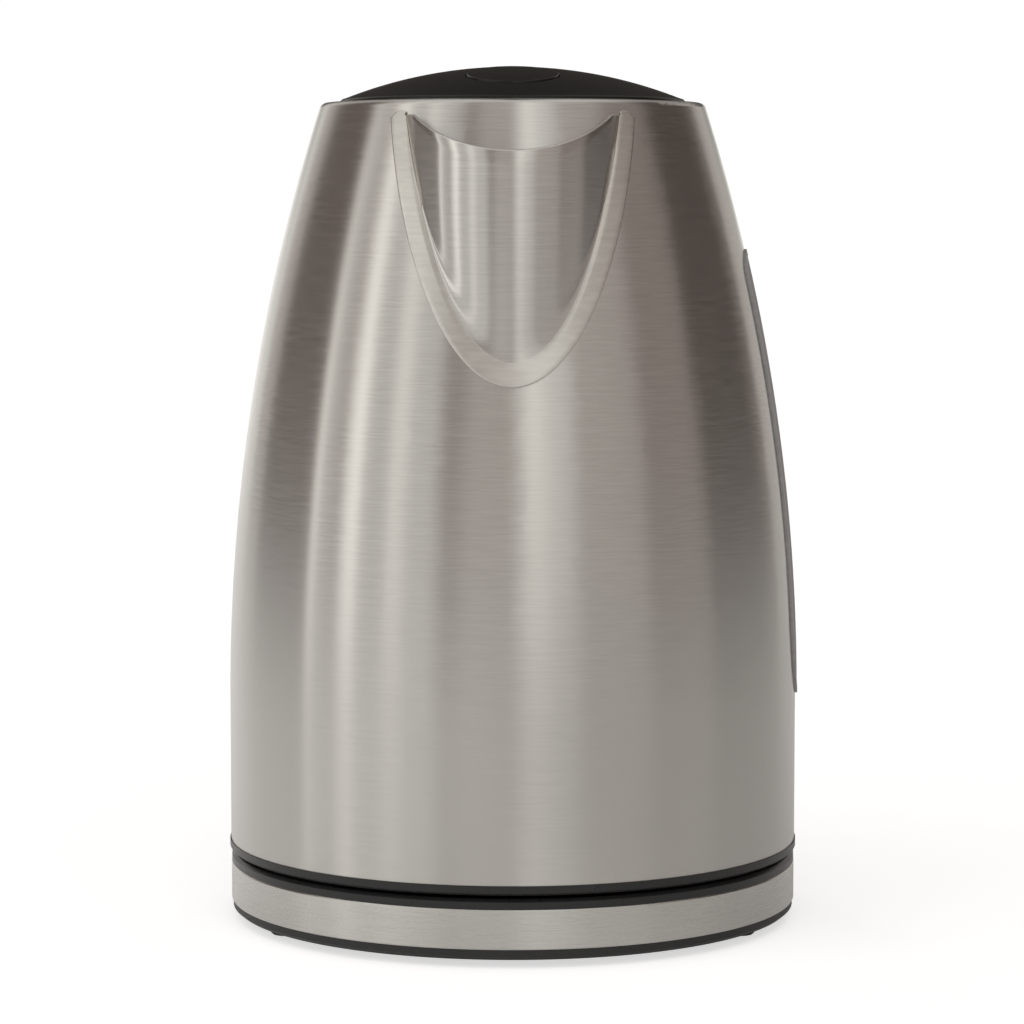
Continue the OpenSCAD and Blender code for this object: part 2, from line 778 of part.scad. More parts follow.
module latch_bolt() color(plastic) {
    bolt_h = 2.4;
    translate([-5, -lid_r + 0.1, bolt_z]) cube([10, 14.4, bolt_h]);
    for (x = [-8.6, 6.6]) translate([x, -lid_r + 9, bolt_z]) cube([2, 14, bolt_h]);
    translate([-8.6, -lid_r + 9, bolt_z]) cube([17.2, 5.5, bolt_h]);
}

// ---------- Filter behind the pouring window ----------

filter_top = collar_z - 0.6;

module filter_frame() color(plastic) {
    difference() {
        intersection() {
            wall_layer(sheet + 0.25, sheet + 2.4, window_z0 - 4, filter_top);
            front_prism() window_outline(3);
        }
        front_prism() window_outline(-1.2);
    }
    intersection() {
        wall_layer(sheet + 1.6, sheet + 2.4, window_z0, window_z1);
        front_prism() {
            translate([-0.6, window_z0]) square([1.2, window_z1 - window_z0]);
            for (z = [window_z0 + 13, window_z0 + 27]) translate([-window_w, z]) square([2 * window_w, 1.2]);
        }
    }
    // finger tab
    translate([-6, -wall_r(filter_top) + sheet + 2, filter_top - 1.6]) cube([12, 5, 1.6]);
}

module filter_mesh() color(white) intersection() {
    wall_layer(sheet + 1.1, sheet + 1.55, window_z0, window_z1);
    front_prism() window_outline(-1.25);
}

base_bottom();
base_feet();
base_band();
base_tray();
base_screws();
base_connector();
base_contacts();
terminal_block();
cord_clamp();
cord_gland();
swivel_ring();
body_shell();
spout();
lid_collar();
heater_plate();
plate_seal();
heat_spreader();
heating_element();
element_terminals();
control_housing();
jug_contacts();
dry_boil_discs();
jug_skirt();
skirt_screws();
gauge_frame();
gauge_lens();
gauge_seal();
handle_shell();
handle_grip();
handle_brackets();
handle_screws();
steam_tube();
steam_switch();
steam_bimetal();
switch_pin();
switch_lever();
indicator_lens();
hinge_pin();
lid_dome();
lid_inner_plate();
lid_seal();
lid_spring();
lid_button();
button_spring();
latch_bolt();
filter_frame();
filter_mesh();
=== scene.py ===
# A cordless electric kettle: a brushed steel jug with a scoop spout, a water gauge, a rear handle
# and a hinged black lid, standing on its round power base. Metres, +Z up, the spout to -Y.
import math

import bmesh
import bpy
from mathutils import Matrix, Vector


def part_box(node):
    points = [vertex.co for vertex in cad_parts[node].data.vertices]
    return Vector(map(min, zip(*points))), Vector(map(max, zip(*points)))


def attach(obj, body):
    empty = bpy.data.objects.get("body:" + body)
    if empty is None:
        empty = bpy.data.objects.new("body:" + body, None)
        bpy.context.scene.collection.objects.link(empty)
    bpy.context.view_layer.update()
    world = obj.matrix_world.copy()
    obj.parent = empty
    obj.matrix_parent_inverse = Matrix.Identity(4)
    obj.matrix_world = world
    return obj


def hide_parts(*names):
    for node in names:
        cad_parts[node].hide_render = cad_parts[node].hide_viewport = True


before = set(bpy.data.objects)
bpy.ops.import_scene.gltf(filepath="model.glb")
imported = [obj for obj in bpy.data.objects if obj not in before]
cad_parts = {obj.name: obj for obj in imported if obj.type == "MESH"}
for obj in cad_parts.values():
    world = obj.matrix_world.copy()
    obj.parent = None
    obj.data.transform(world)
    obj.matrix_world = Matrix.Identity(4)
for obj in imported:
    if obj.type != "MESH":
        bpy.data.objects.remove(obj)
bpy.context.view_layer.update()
scene = bpy.context.scene
mm = 0.001


# ---------- Camera ----------
# A long lens a metre away, a little below the rim's height and pointing slightly down.
camera_place = (-0.2 * mm, -974 * mm, 195.95 * mm)
camera_pitch = 5.0
camera_lens = 124.9
film_width = 36
farthest_seen = 20

camera_data = bpy.data.cameras.new("camera")
camera_data.lens = camera_lens
camera_data.sensor_width = film_width
camera_data.clip_end = farthest_seen
camera = bpy.data.objects.new("camera", camera_data)
camera.location = camera_place
camera.rotation_euler = (math.radians(90 - camera_pitch), 0, 0)
scene.collection.objects.link(camera)
scene.camera = camera
scene.view_settings.view_transform = "Standard"


# ---------- Studio ----------
# Soft white panels stand all round the kettle, with darker and warmer gaps between them, under a
# white ceiling. A dark wall low down at the back keeps the lid black. Each entry is a direction in
# degrees from the spout towards the gauge, and how bright the room is there.
panels = [
    (-180, 1.05), (-166, 0.92), (-152, 0.80), (-139, 0.46), (-124, 0.12), (-100, 0.13),
    (-94, 0.22), (-90, 1.35), (-86, 0.60), (-79, 0.46), (-70, 1.50), (-64, 0.62), (-58, 0.62),
    (-50, 1.05), (-42, 0.66), (-36, 0.66), (-27, 0.27), (-16, 0.44), (-3, 0.44), (9, 1.05),
    (20, 0.80), (32, 0.46), (52, 0.42), (62, 0.24), (82, 0.26), (94, 0.08), (124, 0.07),
    (133, 0.14), (141, 0.46), (160, 0.56), (174, 0.95),
]
gap_warmth = (1.22, 0.95, 0.84)
panel_warmth = (1.02, 1.0, 0.95)
full_panel = 0.6                 # from here on a light has none of the gaps' warmth
ceiling_light = (0.75, 0.75, 0.7275)
ceiling_rise = (0.62, 0.95)
back_wall = (0.075, 0.066, 0.058)
back_wall_turn = (150, 166)
back_wall_rise = (0.05, 0.16)
backdrop_white = 1.02


def joined(nodes, name, kind, **settings):
    """A node of one kind, with its settings, in a node tree."""
    node = nodes.new(kind)
    node.name = name
    for key, value in settings.items():
        setattr(node, key, value)
    return node


def ranged(nodes, name, start, end, low=0.0, high=1.0, smooth=True):
    """A node that turns values from start to end into values from low to high."""
    node = joined(nodes, name, "ShaderNodeMapRange")
    if smooth:
        node.interpolation_type = "SMOOTHSTEP"
    for socket, value in (("From Min", start), ("From Max", end), ("To Min", low), ("To Max", high)):
        node.inputs[socket].default_value = value
    return node


def studio_world():
    """The room as the kettle sees it, and the white backdrop that the camera sees instead."""
    world = bpy.data.worlds.new("studio")
    world.use_nodes = True
    nodes = world.node_tree.nodes
    links = world.node_tree.links
    nodes.clear()
    place = joined(nodes, "direction", "ShaderNodeTexCoord")
    parts = joined(nodes, "parts", "ShaderNodeSeparateXYZ")
    links.new(place.outputs["Generated"], parts.inputs[0])
    flip = joined(nodes, "towards_spout", "ShaderNodeMath", operation="MULTIPLY")
    links.new(parts.outputs["Y"], flip.inputs[0])
    flip.inputs[1].default_value = -1
    turn = joined(nodes, "turn", "ShaderNodeMath", operation="ARCTAN2")
    links.new(parts.outputs["X"], turn.inputs[0])
    links.new(flip.outputs[0], turn.inputs[1])
    spread = ranged(nodes, "spread", -math.pi, math.pi, smooth=False)
    links.new(turn.outputs[0], spread.inputs["Value"])
    ramp = joined(nodes, "panels", "ShaderNodeValToRGB")
    ramp.color_ramp.interpolation = "EASE"
    stops = ramp.color_ramp.elements
    while len(stops) > 1:
        stops.remove(stops[0])
    for i, (angle, light) in enumerate(panels):
        stop = stops[0] if i == 0 else stops.new((angle + 180) / 360)
        stop.position = (angle + 180) / 360
        share = min(1, light / full_panel)
        tint = [g + (p - g) * share for g, p in zip(gap_warmth, panel_warmth)]
        stop.color = (light * tint[0], light * tint[1], light * tint[2], 1)
    links.new(spread.outputs[0], ramp.inputs[0])
    height = ranged(nodes, "height", *ceiling_rise)
    links.new(parts.outputs["Z"], height.inputs["Value"])
    blend = joined(nodes, "ceiling", "ShaderNodeMix", data_type="RGBA")
    links.new(height.outputs[0], blend.inputs["Factor"])
    links.new(ramp.outputs[0], blend.inputs["A"])
    blend.inputs["B"].default_value = (*ceiling_light, 1)
    either_side = joined(nodes, "either_side", "ShaderNodeMath", operation="ABSOLUTE")
    links.new(turn.outputs[0], either_side.inputs[0])
    behind = ranged(nodes, "behind", *[math.radians(turn_back) for turn_back in back_wall_turn])
    links.new(either_side.outputs[0], behind.inputs["Value"])
    above = ranged(nodes, "above", *back_wall_rise)
    links.new(parts.outputs["Z"], above.inputs["Value"])
    shade = joined(nodes, "shade", "ShaderNodeMath", operation="MULTIPLY")
    links.new(behind.outputs[0], shade.inputs[0])
    links.new(above.outputs[0], shade.inputs[1])
    dim = joined(nodes, "dim", "ShaderNodeMix", data_type="RGBA")
    links.new(shade.outputs[0], dim.inputs["Factor"])
    links.new(blend.outputs["Result"], dim.inputs["A"])
    dim.inputs["B"].default_value = (*back_wall, 1)
    room = joined(nodes, "room", "ShaderNodeBackground")
    links.new(dim.outputs["Result"], room.inputs["Color"])
    white = joined(nodes, "backdrop", "ShaderNodeBackground")
    white.inputs["Color"].default_value = (1, 1, 1, 1)
    white.inputs["Strength"].default_value = backdrop_white
    path = joined(nodes, "path", "ShaderNodeLightPath")
    choose = joined(nodes, "choose", "ShaderNodeMixShader")
    links.new(path.outputs["Is Camera Ray"], choose.inputs[0])
    links.new(room.outputs[0], choose.inputs[1])
    links.new(white.outputs[0], choose.inputs[2])
    out = joined(nodes, "out", "ShaderNodeOutputWorld")
    links.new(choose.outputs[0], out.inputs["Surface"])
    return world


scene.world = studio_world()


# ---------- Floor ----------
# A white matt table top, lit a little from below so that it stays as pale as the backdrop. The
# steel sees less of that glow than the camera does, and more of it at the left than at the right.
floor_reach = 2.4
floor_sides = 64
floor_white = 0.84
floor_rough = 0.85
floor_shine = 0.1
floor_glow = 0.62
glow_stretch = (-0.2, 0.1)
glow_on_steel = (0.32, 0.08)


def link_piece(name, mesh, material):
    """Puts a finished mesh into the scene with its material."""
    mesh.materials.append(material)
    for face in mesh.polygons:
        face.use_smooth = True
    obj = bpy.data.objects.new(name, mesh)
    scene.collection.objects.link(obj)
    return obj


def floor_material():
    """Matt white, with a glow of one strength for the camera and another for everything else."""
    material = bpy.data.materials.new("white_table")
    material.use_nodes = True
    nodes = material.node_tree.nodes
    links = material.node_tree.links
    shader = nodes["Principled BSDF"]
    shader.inputs["Base Color"].default_value = (floor_white, floor_white, floor_white, 1)
    shader.inputs["Roughness"].default_value = floor_rough
    shader.inputs["Specular IOR Level"].default_value = floor_shine
    shader.inputs["Emission Color"].default_value = (1, 1, 1, 1)
    path = joined(nodes, "path", "ShaderNodeLightPath")
    place = joined(nodes, "place", "ShaderNodeTexCoord")
    parts = joined(nodes, "parts", "ShaderNodeSeparateXYZ")
    slope = ranged(nodes, "window_side", *glow_stretch, *glow_on_steel, smooth=False)
    glow = joined(nodes, "glow", "ShaderNodeMix")
    glow.inputs["B"].default_value = floor_glow
    links.new(place.outputs["Object"], parts.inputs[0])
    links.new(parts.outputs["X"], slope.inputs["Value"])
    links.new(path.outputs["Is Camera Ray"], glow.inputs["Factor"])
    links.new(slope.outputs[0], glow.inputs["A"])
    links.new(glow.outputs["Result"], shader.inputs["Emission Strength"])
    return material


floor_mesh = bpy.data.meshes.new("table_top")
floor_turns = [math.tau * i / floor_sides for i in range(floor_sides)]
floor_rim = [(floor_reach * math.cos(turn), floor_reach * math.sin(turn), 0) for turn in floor_turns]
floor_mesh.from_pydata(floor_rim, [], [list(range(floor_sides))])
link_piece("table_top", floor_mesh, floor_material())


# ---------- Base bottom and feet ----------
# The base stands on a satin black moulding with drain slots, which three screws hold to the tray.
# Three soft rubber feet are pushed into holes in it.
satin_black = (0.022, 0.022, 0.023)
rubber_black = (0.03, 0.03, 0.03)
noise_stretch = (0.3, 0.7)       # nearly all of the noise's values lie between these
noise_detail = 3
relief_strength = 0.5
dust_scale = 38
dust_detail = 4


def surface(name, colour, rough, metal=0.0, grain=900, shade=0.12, rough_change=0.08,
            bump=0.02 * mm, wear=0.0, **sockets):
    """A finish made of one even noise: it shades the colour, changes the roughness and, where bump
    isn't nought, gives the surface its fine relief. grain is how many spots there are in a metre,
    as one number or one for each axis. wear lightens broad soft patches, as a little dust does."""
    material = bpy.data.materials.new(name)
    material.use_nodes = True
    nodes = material.node_tree.nodes
    links = material.node_tree.links
    shader = nodes["Principled BSDF"]
    place = joined(nodes, "place", "ShaderNodeTexCoord")
    stretch = joined(nodes, "stretch", "ShaderNodeMapping")
    stretch.inputs["Scale"].default_value = grain if isinstance(grain, tuple) else (grain,) * 3
    links.new(place.outputs["Object"], stretch.inputs["Vector"])
    noise = joined(nodes, "grain", "ShaderNodeTexNoise")
    noise.inputs["Scale"].default_value = 1
    noise.inputs["Detail"].default_value = noise_detail
    links.new(stretch.outputs[0], noise.inputs["Vector"])
    tone = joined(nodes, "tone", "ShaderNodeValToRGB")
    for stop, position, light in zip(tone.color_ramp.elements, noise_stretch, (1 - shade, 1 + shade)):
        stop.position = position
        stop.color = (*[min(1, c * light) for c in colour], 1)
    links.new(noise.outputs[0], tone.inputs[0])
    colour_out = tone.outputs[0]
    if wear:
        patches = joined(nodes, "patches", "ShaderNodeTexNoise")
        patches.inputs["Scale"].default_value = dust_scale
        patches.inputs["Detail"].default_value = dust_detail
        links.new(place.outputs["Object"], patches.inputs["Vector"])
        dust = joined(nodes, "dust", "ShaderNodeMix", data_type="RGBA", blend_type="ADD")
        links.new(patches.outputs[0], dust.inputs["Factor"])
        links.new(colour_out, dust.inputs["A"])
        dust.inputs["B"].default_value = (wear, wear, wear * 0.95, 1)
        colour_out = dust.outputs["Result"]
    links.new(colour_out, shader.inputs["Base Color"])
    polish = ranged(
        nodes, "polish", *noise_stretch, rough - rough_change, rough + rough_change, smooth=False,
    )
    links.new(noise.outputs[0], polish.inputs["Value"])
    links.new(polish.outputs[0], shader.inputs["Roughness"])
    if bump:
        relief = joined(nodes, "relief", "ShaderNodeBump")
        relief.inputs["Distance"].default_value = bump
        relief.inputs["Strength"].default_value = relief_strength
        links.new(noise.outputs[0], relief.inputs["Height"])
        links.new(relief.outputs[0], shader.inputs["Normal"])
    shader.inputs["Metallic"].default_value = metal
    for socket, value in sockets.items():
        shader.inputs[socket.replace("_", " ")].default_value = value
    return material


def finish_nodes(material, *names):
    """Gives CAD nodes their real finish."""
    for name in names:
        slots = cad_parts[name].data.materials
        for i in range(len(slots)):
            slots[i] = material


satin_plastic = surface(
    "satin_plastic", satin_black, 0.48, grain=1500, bump=0.003 * mm, wear=0.002,
)
soft_rubber = surface("soft_rubber", rubber_black, 0.75, grain=2200, bump=0.04 * mm)
finish_nodes(satin_plastic, "base_bottom")
finish_nodes(soft_rubber, "base_feet", "cord_gland")


# ---------- Steel band round the base ----------
# One strip of stainless steel, brushed lengthways and closed to a hoop, is pressed over the tray.
# Its two edges are rolled in by a quarter of a millimetre and catch the light.
band_steel = (0.66, 0.645, 0.62)


def brushed(name, colour, rough, smear, scratches, shade, bump):
    """Steel brushed round the kettle: fine scratches run level, so reflections smear upright.
    scratches is how many there are in a metre along their length and across them."""
    material = surface(
        name, colour, rough, metal=1.0, grain=(scratches[0], scratches[0], scratches[1]), shade=shade,
        rough_change=0.018, bump=bump, Anisotropic=smear, Anisotropic_Rotation=0.25,
    )
    nodes = material.node_tree.nodes
    way = joined(nodes, "way_of_brushing", "ShaderNodeTangent", direction_type="RADIAL", axis="Z")
    material.node_tree.links.new(way.outputs[0], nodes["Principled BSDF"].inputs["Tangent"])
    return material


brushed_band = brushed(
    "brushed_band", band_steel, 0.28, smear=0.85, scratches=(90, 3600), shade=0.05, bump=0.002 * mm,
)
finish_nodes(brushed_band, "base_band")


# ---------- Tray, connector and terminals of the base ----------
# The tray is a semi-gloss black moulding. In its middle stands the round connector with two ring
# contacts and an earth pin, wired to a terminal block that a clamp and a gland keep the cord from
# pulling on.
gloss_black = (0.016, 0.016, 0.017)
pale = (0.72, 0.72, 0.68)
connector_grey = (0.05, 0.05, 0.05)
zinc = (0.7, 0.7, 0.68)
copper = (0.78, 0.46, 0.28)

gloss_plastic = surface(
    "gloss_plastic", gloss_black, 0.30, grain=500, shade=0.06, rough_change=0.03, bump=0.0015 * mm,
    wear=0.0015,
)
pale_plastic = surface("pale_plastic", pale, 0.45, shade=0.04)
connector_plastic = surface("connector_plastic", connector_grey, 0.42, grain=1200)
zinc_steel = surface("zinc_steel", zinc, 0.28, metal=1.0, grain=1800, shade=0.08)
contact_copper = surface("contact_copper", copper, 0.25, metal=1.0, grain=(600, 600, 2500))
finish_nodes(gloss_plastic, "base_tray")
finish_nodes(connector_plastic, "base_connector")
finish_nodes(contact_copper, "base_contacts")
finish_nodes(pale_plastic, "terminal_block", "cord_clamp", "swivel_ring")
finish_nodes(zinc_steel, "base_screws")


# ---------- Steel body ----------
# The jug's body is spun from one sheet of stainless steel, 0.8 mm thick, and brushed round on the
# lathe. The upper part tapers in one long curve to a rolled rim.
body_steel = (0.63, 0.612, 0.585)
body_steel_finish = brushed(
    "brushed_steel", body_steel, 0.235, smear=0.98, scratches=(110, 3200), shade=0.045, bump=0,
)
finish_nodes(body_steel_finish, "body_shell")

skirt_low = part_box("body_shell")[0][2]
rim_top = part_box("body_shell")[1][2]
body_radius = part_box("body_shell")[1][0]
taper_start = skirt_low + 38 * mm
taper_radius = 530 * mm


def wall(z):
    """Outside radius of the steel body at height z."""
    rise = max(z - taper_start, 0)
    return body_radius - taper_radius + math.sqrt(taper_radius ** 2 - rise ** 2)


# ---------- Spout ----------
# The scoop is pressed from the same sheet, with a narrow flange all round that is spot welded flat
# on the wall. Its plan is half an oval, and so is the outline of the crease where it meets the
# flange. The lip slopes up from the front towards the lid and has a rounded edge.
scoop_half_width = 30 * mm
scoop_half_depth = 38 * mm
scoop_front = 69.9 * mm
scoop_height = 56 * mm
scoop_barrel = 0.35 * mm          # how far the scoop swells where it is as high as that
crease_low = 153.9 * mm
crease_half_height = 104 * mm
crease_top = 218.1 * mm
flange_half_width = 32.3 * mm
flange_half_height = 83 * mm
flange_low = 148.7 * mm
flange_lift = 0.75 * mm
flange_edge = 0.28 * mm
flange_shares = (0.75, 0.5, 0.25, 0.12)
flange_most = 12 * mm
weld_gap = 0.05 * mm
sheet = 0.8 * mm
lip_front = 209.0 * mm
lip_slope = 0.5
lip_over_crease = (0.25 * mm, 0.3 * mm)
first_step = 0.02                 # the scoop's first points stand this share of its height up
crease_sharpness = 24
back_tuck = 0.985
tip_round = 2.86 * mm
tip_place = (28.9 * mm, 216.6 * mm)
tip_inner = 27.75 * mm
tip_rise = 0.9 * mm
tip_start = 15                    # degrees
tip_turn = 95
tip_thinning = 0.25
column_count = 96
upright_steps = 14
edge_steps = 3
tip_steps = 7
search_steps = 30
crisp_scoop = math.radians(50)
pressed_colour = (0.72, 0.70, 0.66)


def on_wall(x, z, lift):
    """The point over (x, z) of the front wall, lifted off the steel."""
    return Vector((x, -math.sqrt((wall(z) + lift) ** 2 - x ** 2), z))


def flange_width(x, z, out):
    """How far the flange reaches from a point of the crease in the direction out."""
    centre = flange_low + flange_half_height
    low, high = 0.0, flange_most
    for _ in range(search_steps):
        reach = (low + high) / 2
        side = (x + out[0] * reach) / flange_half_width
        rise = (z + out[1] * reach - centre) / flange_half_height
        if side ** 2 + rise ** 2 < 1:
            low = reach
        else:
            high = reach
    return low


def spout_section(turn):
    """Closed section of the spout's sheet at one place along the flange; turn is the angle on the
    crease's oval, 0 at the bottom."""
    x = scoop_half_width * math.sin(turn)
    z = crease_low + crease_half_height * (1 - math.cos(turn))
    out = Vector((math.sin(turn) / scoop_half_width, -math.cos(turn) / crease_half_height))
    out = out.normalized()
    width = flange_width(x, z, out)
    points = []

    def flange(share, lift):
        points.append(on_wall(x + out[0] * width * share, z + out[1] * width * share, lift))

    edge = flange_edge / max(width, 1 * mm)
    flange(1.0, weld_gap)
    flange(1.0, flange_lift - flange_edge)
    for k in range(1, edge_steps + 1):
        angle = math.pi / 2 * k / edge_steps
        flange(
            1 - edge * (1 - math.cos(angle)), flange_lift - flange_edge * (1 - math.sin(angle)),
        )
    for share in flange_shares:
        flange(share, flange_lift)
    depth = scoop_half_depth * math.sqrt(1 - (x / scoop_half_width) ** 2)
    y = scoop_half_depth - scoop_front - depth
    lip = min(lip_front + lip_slope * (scoop_front + y), crease_top + lip_over_crease[1])
    lip = max(lip, z + lip_over_crease[0])
    start = on_wall(x, z, flange_lift)
    normal = Vector((
        math.sin(turn) / scoop_half_width, -depth / scoop_half_depth / scoop_half_depth, 0,
    )).normalized()
    top = lip - sheet / 2

    def upright(step, inset):
        share = first_step + (1 - first_step) * step / upright_steps
        height = start.z + (top - start.z) * share
        swell = math.sin(math.pi * share) * scoop_barrel * (top - start.z) / scoop_height
        at_crease = (1 - share) ** crease_sharpness
        plan = Vector((x, y, height))
        plan.y = plan.y * (1 - at_crease) + start.y * at_crease
        return plan + normal * (swell - inset)

    for k in range(upright_steps + 1):
        points.append(upright(k, 0))
    for k in range(1, edge_steps + 1):
        angle = math.pi * k / (edge_steps + 1)
        tip = upright(upright_steps, sheet / 2 * (1 - math.cos(angle)))
        tip.z += sheet / 2 * math.sin(angle)
        points.append(tip)
    for k in range(upright_steps, -1, -1):
        points.append(upright(k, sheet))
    points.append(on_wall(x * back_tuck, z, weld_gap))
    return points


def tip_section(side, last_section, share):
    """One section of the flange's rounded tip: the last section of the spout, turned about the
    corner's centre by a share of the whole way."""
    angle = math.radians(tip_start + tip_turn * share)
    outer = Vector((
        tip_place[0] + tip_round * math.cos(angle), tip_place[1] + tip_round * math.sin(angle),
    ))
    inner = Vector((tip_inner, crease_top + tip_rise * share))
    last = last_section[-1]

    def from_last(p):
        return (Vector((abs(p.x), p.z)) - Vector((abs(last.x), last.z))).length

    moved = []
    for p in last_section:
        reach = min(from_last(p) / from_last(last_section[0]), 1)
        x = inner.x + (outer.x - inner.x) * reach
        z = inner.y + (outer.y - inner.y) * reach
        lift = math.hypot(p.x, p.y) - wall(p.z)
        point = on_wall(x, z, max(weld_gap, lift * (1 - tip_thinning * share)))
        point.x *= side
        moved.append(point)
    return moved


def grid_mesh(name, rows, wrap_rows=False, wrap_columns=True, cap_ends=True, second=()):
    """A mesh whose faces join each row of points to the next. The columns in second take the
    second material."""
    mesh = bpy.data.meshes.new(name)
    shape = bmesh.new()
    points = [[shape.verts.new(p) for p in row] for row in rows]
    row_count = len(rows)
    width = len(rows[0])
    for i in range(row_count if wrap_rows else row_count - 1):
        for j in range(width if wrap_columns else width - 1):
            a = points[i][j]
            b = points[i][(j + 1) % width]
            c = points[(i + 1) % row_count][(j + 1) % width]
            d = points[(i + 1) % row_count][j]
            face = shape.faces.new((a, b, c, d))
            face.material_index = 1 if j in second else 0
    if cap_ends and not wrap_rows:
        shape.faces.new(list(reversed(points[0])))
        shape.faces.new(points[-1])
    bmesh.ops.remove_doubles(shape, verts=shape.verts, dist=0.001 * mm)
    bmesh.ops.recalc_face_normals(shape, faces=shape.faces)
    shape.to_mesh(mesh)
    shape.free()
    return mesh


crease_end = math.acos(1 - (crease_top - crease_low) / crease_half_height)
spout_rows = [
    spout_section((2 * i / column_count - 1) * crease_end) for i in range(column_count + 1)
]
left_tip = [tip_section(-1, spout_rows[0], k / tip_steps) for k in range(tip_steps, 0, -1)]
right_tip = [tip_section(1, spout_rows[-1], k / tip_steps) for k in range(1, tip_steps + 1)]
flange_end = 2 + edge_steps + len(flange_shares)
lip_start = flange_end + upright_steps
flange_columns = [*range(flange_end), *range(lip_start, lip_start + edge_steps + 1)]
spout_mesh = grid_mesh("spout_scoop", left_tip + spout_rows + right_tip, second=flange_columns)
spout = link_piece("spout_scoop", spout_mesh, body_steel_finish)
pressed_steel = brushed(
    "pressed_steel", pressed_colour, 0.36, smear=0.6, scratches=(160, 900), shade=0.06,
    bump=0.003 * mm,
)
spout_mesh.materials.append(pressed_steel)
spout_mesh.set_sharp_from_angle(angle=crisp_scoop)
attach(spout, "jug")
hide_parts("spout")


# ---------- Inside the jug ----------
# A black collar under the rim holds the lid's catch. A thin steel plate closes the bottom on a
# silicone ring; under it sit the cast heat spreader and element, the control and its contacts.
inner_grey = (0.66, 0.66, 0.65)
silicone_white = (0.55, 0.55, 0.53)
alloy_grey = (0.7, 0.7, 0.7)
brass = (0.75, 0.6, 0.3)
disc_metal = (0.6, 0.55, 0.42)

inner_steel = surface(
    "inner_steel", inner_grey, 0.26, metal=1.0, grain=(500, 500, 1500), shade=0.06,
)
silicone = surface("silicone", silicone_white, 0.5, shade=0.05, Subsurface_Weight=0.2)
cast_alloy = surface("cast_alloy", alloy_grey, 0.5, metal=1.0, grain=1300, bump=0.06 * mm)
contact_brass = surface("contact_brass", brass, 0.25, metal=1.0)
bimetal = surface("bimetal", disc_metal, 0.4, metal=1.0)
finish_nodes(satin_plastic, "lid_collar")
finish_nodes(inner_steel, "heater_plate", "handle_brackets", "lid_inner_plate")
finish_nodes(silicone, "plate_seal", "gauge_seal", "lid_seal")
finish_nodes(cast_alloy, "heat_spreader", "heating_element")
finish_nodes(contact_brass, "element_terminals", "jug_contacts")
finish_nodes(connector_plastic, "control_housing")
finish_nodes(bimetal, "dry_boil_discs", "steam_bimetal")


# ---------- Skirt ----------
# A semi-gloss black moulding closes the jug underneath. Its lip shows as a thin dark ring under
# the steel, and three screws hold it to the heat spreader.
finish_nodes(gloss_plastic, "jug_skirt")
finish_nodes(zinc_steel, "skirt_screws")


# ---------- Water gauge ----------
# A clear smoke-grey lens in a dark grey frame is set into the wall on one side, over a silicone
# seal. Both are moulded with the wall's own curve.
frame_grey = (0.36, 0.355, 0.365)
lens_grey = (0.44, 0.43, 0.43)

gauge_plastic = surface("gauge_plastic", frame_grey, 0.42, bump=0.004 * mm)
gauge_clear = surface(
    "gauge_clear", lens_grey, 0.42, grain=300, shade=0.03, rough_change=0.03, bump=0.002 * mm,
    Transmission_Weight=0.25, IOR=1.12, Specular_IOR_Level=0.2,
)
finish_nodes(gauge_plastic, "gauge_frame")
finish_nodes(gauge_clear, "gauge_lens")


# ---------- Handle ----------
# The handle is a semi-gloss black moulding shaped like a D, with all its edges rounded for the
# hand. Two steel brackets on the wall carry it, one at the rim and one low down.
handle_low, handle_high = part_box("handle_shell")
handle_half = handle_high[0]
handle_back = handle_high[1]
handle_top = 226 * mm             # the ears stand higher
handle_foot = handle_low[2]
handle_depth = 21 * mm
back_radius = 260 * mm
top_corner = 38 * mm
low_corner = 30 * mm
corner_rise = 48 * mm
outer_round = 8.5 * mm
inner_round = 2.6 * mm
top_run = (30, 46, 56, 66, 76)    # millimetres from the kettle's axis, at the top and at the foot
foot_run = (84, 74, 64, 54)
corner_steps = 16
back_steps = 30
grip_half = 11.85 * mm
grip_depth = 3.5 * mm
grip_groove = 0.5 * mm
grip_fit = 0.1 * mm
wall_fit = 0.1 * mm
rim_clear = 47.6 * mm
knuckle_room = 9.0 * mm
room_front = 40 * mm
room_back = 59.1 * mm
past_handle = 130 * mm            # where the cutters that come in from the back start
past_rim = 240 * mm
jug_blank_ends = (12 * mm, 20 * mm)
jug_blank_steps = 40
over_rim = 0.02 * mm
lamp_fit = 0.05 * mm
lever_room = (10 * mm, 1.5 * mm)  # below the lever and above it
past_face = 1 * mm
screw_room = 3.2 * mm
screw_head = 1.4 * mm
low_screw_y = 82 * mm
lever_gap = 0.7 * mm
crisp_handle = math.radians(38)

back_place = (handle_back - back_radius, handle_top - top_corner - corner_rise)
top_place = (
    back_place[0] + math.sqrt((back_radius - top_corner) ** 2 - corner_rise ** 2),
    handle_top - top_corner,
)
low_drop = back_place[1] - handle_foot - low_corner
low_place = (
    back_place[0] + math.sqrt((back_radius - low_corner) ** 2 - low_drop ** 2),
    handle_foot + low_corner,
)
top_turn = math.atan2(corner_rise, top_place[0] - back_place[0])
low_turn = math.atan2(low_place[1] - back_place[1], low_place[0] - back_place[0])


def arc_points(place, radius, start, end, steps):
    """Places along an arc in the side view, each with the way out of the handle."""
    points = []
    for i in range(steps + 1):
        turn = start + (end - start) * i / steps
        way = (math.cos(turn), math.sin(turn))
        points.append((place[0] + radius * way[0], place[1] + radius * way[1], way))
    return points


